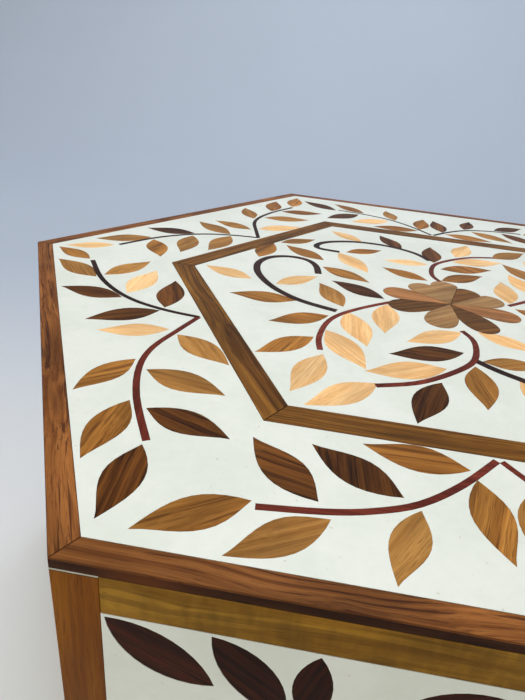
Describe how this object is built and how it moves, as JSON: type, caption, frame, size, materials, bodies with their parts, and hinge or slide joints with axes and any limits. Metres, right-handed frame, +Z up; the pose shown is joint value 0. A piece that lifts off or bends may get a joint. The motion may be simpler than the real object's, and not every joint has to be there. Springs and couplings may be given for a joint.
{
  "type": "inlaid wooden box",
  "caption": "Hexagonal casket with a deep hinged lid, wood leaves and vines inlaid in cream resin, mitred hardwood frames, and a lined inside.",
  "frame": {"origin": "centre of the base felt's underside", "axes": "+Z up, -Y towards the front, +X to the right seen from the front, hinges at +Y"},
  "size_m": [0.3464, 0.3093, 0.15],
  "materials": {
    "resin": "poured cream resin, sanded flush and waxed",
    "frame_wood": "streaked brown hardwood, waxed",
    "band_wood": "dark straight-grained hardwood, waxed",
    "stile_wood": "amber hardwood, waxed",
    "rail_wood": "golden hardwood, waxed",
    "leaf_dark": "dark figured hardwood",
    "leaf_brown": "brown hardwood",
    "leaf_tan": "tan hardwood",
    "leaf_pale": "pale warm hardwood",
    "vine_dark": "dark dyed strip",
    "vine_red": "red-brown dyed strip",
    "petal_dark": "dark hardwood",
    "petal_brown": "brown hardwood",
    "petal_tan": "tan hardwood",
    "side_leaf_wood": "very dark red-brown hardwood",
    "side_vine_wood": "dark dyed strip",
    "core_wood": "plain sawn core wood",
    "lining": "short-pile velvet",
    "felt": "pressed felt",
    "hinge_brass": "brushed brass",
    "screw_brass": "turned brass"
  },
  "bodies": {
    "case": {"base_felt": "felt", "floor_board": "core_wood", "body_wall_1": "core_wood", "body_wall_2": "core_wood", "body_wall_3": "core_wood", "body_wall_4": "core_wood", "body_wall_5": "core_wood", "body_wall_6": "core_wood", "body_stiles": "stile_wood", "body_top_rails": "rail_wood", "body_bottom_rails": "rail_wood", "body_side_resin": "resin", "body_side_leaves": "side_leaf_wood", "body_side_vines": "side_vine_wood", "wall_lining": "lining", "floor_lining": "lining", "hinge_case_leaves": "hinge_brass", "hinge_pins": "hinge_brass", "hinge_case_screws": "screw_brass"},
    "lid": {"lid_wall_1": "core_wood", "lid_wall_2": "core_wood", "lid_wall_3": "core_wood", "lid_wall_4": "core_wood", "lid_wall_5": "core_wood", "lid_wall_6": "core_wood", "lid_top_board": "core_wood", "lid_lining": "lining", "lid_stiles": "stile_wood", "lid_top_rails": "rail_wood", "lid_bottom_rails": "rail_wood", "lid_side_resin": "resin", "lid_side_leaves": "side_leaf_wood", "lid_side_vines": "side_vine_wood", "frame_strip_1": "frame_wood", "frame_strip_2": "frame_wood", "frame_strip_3": "frame_wood", "frame_strip_4": "frame_wood", "frame_strip_5": "frame_wood", "frame_strip_6": "frame_wood", "band_strip_1": "band_wood", "band_strip_2": "band_wood", "band_strip_3": "band_wood", "band_strip_4": "band_wood", "band_strip_5": "band_wood", "band_strip_6": "band_wood", "border_resin": "resin", "centre_resin": "resin", "leaves_dark": "leaf_dark", "leaves_brown": "leaf_brown", "leaves_tan": "leaf_tan", "leaves_pale": "leaf_pale", "vines_dark": "vine_dark", "vines_red": "vine_red", "petals_dark": "petal_dark", "petals_brown": "petal_brown", "petals_tan": "petal_tan", "hinge_lid_leaves": "hinge_brass", "hinge_lid_screws": "screw_brass"}
  },
  "joints": [
    {"name": "lid_hinge", "type": "hinge", "parent": "case", "child": "lid", "pos_m": [0, 0.1528, 0.09015], "axis": [-1, 0, 0], "range_deg": [0, 100]}
  ]
}
